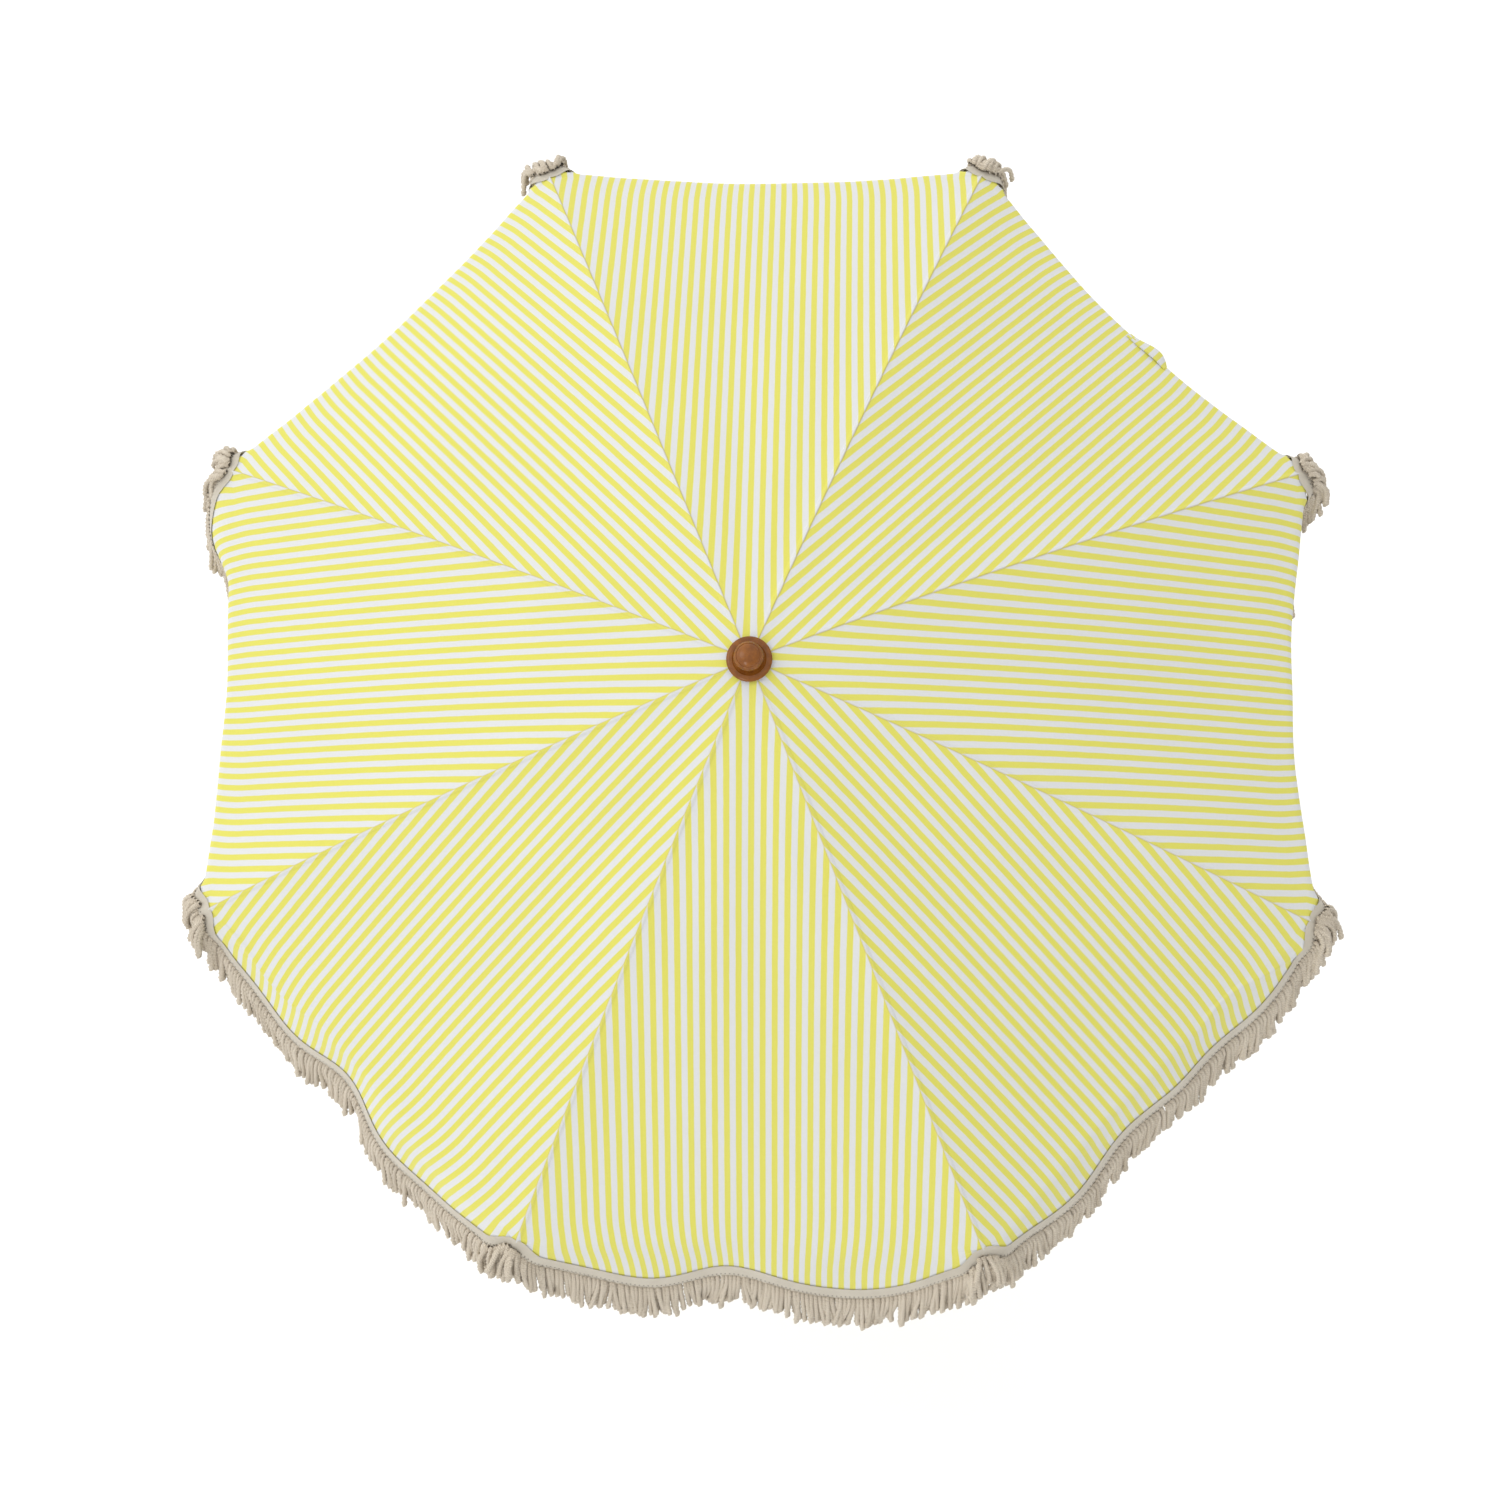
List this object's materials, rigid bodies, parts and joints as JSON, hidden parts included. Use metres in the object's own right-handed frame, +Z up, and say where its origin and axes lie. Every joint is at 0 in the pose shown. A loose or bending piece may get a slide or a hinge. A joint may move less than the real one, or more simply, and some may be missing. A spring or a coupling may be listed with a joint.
{
  "type": "beach umbrella",
  "caption": "Open beach umbrella with a leaning head: striped canopy on folding ribs, cotton fringe, timber pole with tilt knuckle and ground spike.",
  "frame": {"origin": "tip of the ground spike", "axes": "+Z up the vertical lower pole, the head leans towards -Y at rest, +X completes the right-handed frame"},
  "size_m": [1.6963, 1.3025, 2.3229],
  "materials": {
    "pole_timber": "oiled timber, satin",
    "varnished_wood": "varnished, glossy",
    "brass_fittings": "brushed, lightly worn",
    "steel_wire": "plain wire",
    "steel_rib": "cream powder coat",
    "cream_nylon": "moulded, matt",
    "dark_nylon": "moulded, matt",
    "striped_cloth": "yellow and white woven stripe, matt",
    "cotton_fringe": "undyed twisted cotton"
  },
  "bodies": {
    "foot": {"ground_spike": "brass_fittings", "lower_pole": "pole_timber", "pole_sleeve": "brass_fittings"},
    "clamp": {"clamp_screw": "brass_fittings"},
    "mast": {"middle_pole": "pole_timber", "tilt_fork": "cream_nylon", "tilt_pin": "brass_fittings", "button_spring": "steel_wire"},
    "button": {"tilt_button": "dark_nylon"},
    "head": {"tilt_tongue": "cream_nylon", "upper_pole": "pole_timber", "crown_hub": "cream_nylon", "crown_wire": "steel_wire", "top_washer": "varnished_wood", "finial": "varnished_wood", "finial_stud": "steel_wire"},
    "runner": {"runner": "cream_nylon", "runner_wire": "steel_wire"},
    "latch": {"runner_latch": "dark_nylon"},
    "rib_1": {"rib_1": "steel_rib", "rib_tip_1": "cream_nylon", "canopy_1": "striped_cloth", "fringe_1": "cotton_fringe", "tie_strap": "striped_cloth"},
    "stretcher_1": {"stretcher_1": "steel_rib"},
    "rib_2": {"rib_2": "steel_rib", "rib_tip_2": "cream_nylon", "canopy_2": "striped_cloth", "fringe_2": "cotton_fringe"},
    "stretcher_2": {"stretcher_2": "steel_rib"},
    "rib_3": {"rib_3": "steel_rib", "rib_tip_3": "cream_nylon", "canopy_3": "striped_cloth", "fringe_3": "cotton_fringe"},
    "stretcher_3": {"stretcher_3": "steel_rib"},
    "rib_4": {"rib_4": "steel_rib", "rib_tip_4": "cream_nylon", "canopy_4": "striped_cloth", "fringe_4": "cotton_fringe"},
    "stretcher_4": {"stretcher_4": "steel_rib"},
    "rib_5": {"rib_5": "steel_rib", "rib_tip_5": "cream_nylon", "canopy_5": "striped_cloth", "fringe_5": "cotton_fringe"},
    "stretcher_5": {"stretcher_5": "steel_rib"},
    "rib_6": {"rib_6": "steel_rib", "rib_tip_6": "cream_nylon", "canopy_6": "striped_cloth", "fringe_6": "cotton_fringe"},
    "stretcher_6": {"stretcher_6": "steel_rib"},
    "rib_7": {"rib_7": "steel_rib", "rib_tip_7": "cream_nylon", "canopy_7": "striped_cloth", "fringe_7": "cotton_fringe"},
    "stretcher_7": {"stretcher_7": "steel_rib"},
    "rib_8": {"rib_8": "steel_rib", "rib_tip_8": "cream_nylon", "canopy_8": "striped_cloth", "fringe_8": "cotton_fringe"},
    "stretcher_8": {"stretcher_8": "steel_rib"}
  },
  "joints": [
    {"name": "pole_height", "type": "slide", "parent": "foot", "child": "mast", "axis": [0, 0, 1], "range_m": [0, 0.1]},
    {"name": "clamp_turn", "type": "hinge", "parent": "foot", "child": "clamp", "pos_m": [0, 0.03, 0.725], "axis": [0, 1, 0], "range_deg": [0, 360]},
    {"name": "head_tilt", "type": "hinge", "parent": "mast", "child": "head", "pos_m": [0, 0, 1.25], "axis": [1, 0, 0], "range_deg": [-40, 0]},
    {"name": "button_press", "type": "slide", "parent": "mast", "child": "button", "axis": [1, 0, 0], "range_m": [0, 0.004], "stiffness_N_per_m": 900, "springref_m": -0.004, "deforming": ["button_spring"]},
    {"name": "canopy_fold", "type": "slide", "parent": "head", "child": "runner", "axis": [0, 0.6428, -0.766], "range_m": [0, 0.44829]},
    {"name": "latch_press", "type": "hinge", "parent": "runner", "child": "latch", "pos_m": [0.021, -0.39782, 1.7241], "axis": [0, -0.766, -0.6428], "range_deg": [0, 6], "stiffness_Nm_per_rad": 0.6, "springref_deg": -2.86},
    {"name": "rib_fold_1", "type": "hinge", "parent": "head", "child": "rib_1", "pos_m": [0.02494, -0.59309, 1.97289], "axis": [-0.3827, 0.7077, 0.5939], "range_deg": [0, 72.1], "deforming": ["canopy_1", "fringe_1", "tie_strap"]},
    {"name": "stretcher_fold_1", "type": "hinge", "parent": "runner", "child": "stretcher_1", "pos_m": [0.02282, -0.40798, 1.75866], "axis": [0.3827, -0.7077, -0.5939], "range_deg": [0, 49.85]},
    {"name": "rib_fold_2", "type": "hinge", "parent": "head", "child": "rib_2", "pos_m": [0.01033, -0.5819, 1.98229], "axis": [-0.9239, 0.2932, 0.246], "range_deg": [0, 72.1], "deforming": ["canopy_2", "fringe_2"]},
    {"name": "stretcher_fold_2", "type": "hinge", "parent": "runner", "child": "stretcher_2", "pos_m": [0.00593, -0.39886, 1.76632], "axis": [0.9239, -0.2932, -0.246], "range_deg": [0, 49.85]},
    {"name": "rib_fold_3", "type": "hinge", "parent": "head", "child": "rib_3", "pos_m": [-0.01033, -0.5819, 1.98229], "axis": [-0.9239, -0.2932, -0.246], "range_deg": [0, 72.1], "deforming": ["canopy_3", "fringe_3"]},
    {"name": "stretcher_fold_3", "type": "hinge", "parent": "runner", "child": "stretcher_3", "pos_m": [-0.01443, -0.40155, 1.76405], "axis": [0.9239, 0.2932, 0.246], "range_deg": [0, 49.85]},
    {"name": "rib_fold_4", "type": "hinge", "parent": "head", "child": "rib_4", "pos_m": [-0.02494, -0.59309, 1.97289], "axis": [-0.3827, -0.7077, -0.5939], "range_deg": [0, 72.1], "deforming": ["canopy_4", "fringe_4"]},
    {"name": "stretcher_fold_4", "type": "hinge", "parent": "runner", "child": "stretcher_4", "pos_m": [-0.02634, -0.41449, 1.7532], "axis": [0.3827, 0.7077, 0.5939], "range_deg": [0, 49.85]},
    {"name": "rib_fold_5", "type": "hinge", "parent": "head", "child": "rib_5", "pos_m": [-0.02494, -0.60892, 1.95961], "axis": [0.3827, -0.7077, -0.5939], "range_deg": [0, 72.1], "deforming": ["canopy_5", "fringe_5"]},
    {"name": "stretcher_fold_5", "type": "hinge", "parent": "runner", "child": "stretcher_5", "pos_m": [-0.02282, -0.43009, 1.74011], "axis": [-0.3827, 0.7077, 0.5939], "range_deg": [0, 49.85]},
    {"name": "rib_fold_6", "type": "hinge", "parent": "head", "child": "rib_6", "pos_m": [-0.01033, -0.62012, 1.95022], "axis": [0.9239, -0.2932, -0.246], "range_deg": [0, 72.1], "deforming": ["canopy_6", "fringe_6"]},
    {"name": "stretcher_fold_6", "type": "hinge", "parent": "runner", "child": "stretcher_6", "pos_m": [-0.00593, -0.43921, 1.73245], "axis": [-0.9239, 0.2932, 0.246], "range_deg": [0, 49.85]},
    {"name": "rib_fold_7", "type": "hinge", "parent": "head", "child": "rib_7", "pos_m": [0.01033, -0.62012, 1.95022], "axis": [0.9239, 0.2932, 0.246], "range_deg": [0, 72.1], "deforming": ["canopy_7", "fringe_7"]},
    {"name": "stretcher_fold_7", "type": "hinge", "parent": "runner", "child": "stretcher_7", "pos_m": [0.01443, -0.43651, 1.73472], "axis": [-0.9239, -0.2932, -0.246], "range_deg": [0, 49.85]},
    {"name": "rib_fold_8", "type": "hinge", "parent": "head", "child": "rib_8", "pos_m": [0.02494, -0.60892, 1.95961], "axis": [0.3827, 0.7077, 0.5939], "range_deg": [0, 72.1], "deforming": ["canopy_8", "fringe_8"]},
    {"name": "stretcher_fold_8", "type": "hinge", "parent": "runner", "child": "stretcher_8", "pos_m": [0.02634, -0.42358, 1.74557], "axis": [-0.3827, -0.7077, -0.5939], "range_deg": [0, 49.85]}
  ],
  "couplings": [
    {"joint": "rib_fold_1", "follows": "canopy_fold", "rad_per_m": 2.8032},
    {"joint": "stretcher_fold_1", "follows": "canopy_fold", "rad_per_m": 1.937},
    {"joint": "rib_fold_2", "follows": "canopy_fold", "rad_per_m": 2.8032},
    {"joint": "stretcher_fold_2", "follows": "canopy_fold", "rad_per_m": 1.937},
    {"joint": "rib_fold_3", "follows": "canopy_fold", "rad_per_m": 2.8032},
    {"joint": "stretcher_fold_3", "follows": "canopy_fold", "rad_per_m": 1.937},
    {"joint": "rib_fold_4", "follows": "canopy_fold", "rad_per_m": 2.8032},
    {"joint": "stretcher_fold_4", "follows": "canopy_fold", "rad_per_m": 1.937},
    {"joint": "rib_fold_5", "follows": "canopy_fold", "rad_per_m": 2.8032},
    {"joint": "stretcher_fold_5", "follows": "canopy_fold", "rad_per_m": 1.937},
    {"joint": "rib_fold_6", "follows": "canopy_fold", "rad_per_m": 2.8032},
    {"joint": "stretcher_fold_6", "follows": "canopy_fold", "rad_per_m": 1.937},
    {"joint": "rib_fold_7", "follows": "canopy_fold", "rad_per_m": 2.8032},
    {"joint": "stretcher_fold_7", "follows": "canopy_fold", "rad_per_m": 1.937},
    {"joint": "rib_fold_8", "follows": "canopy_fold", "rad_per_m": 2.8032},
    {"joint": "stretcher_fold_8", "follows": "canopy_fold", "rad_per_m": 1.937}
  ]
}
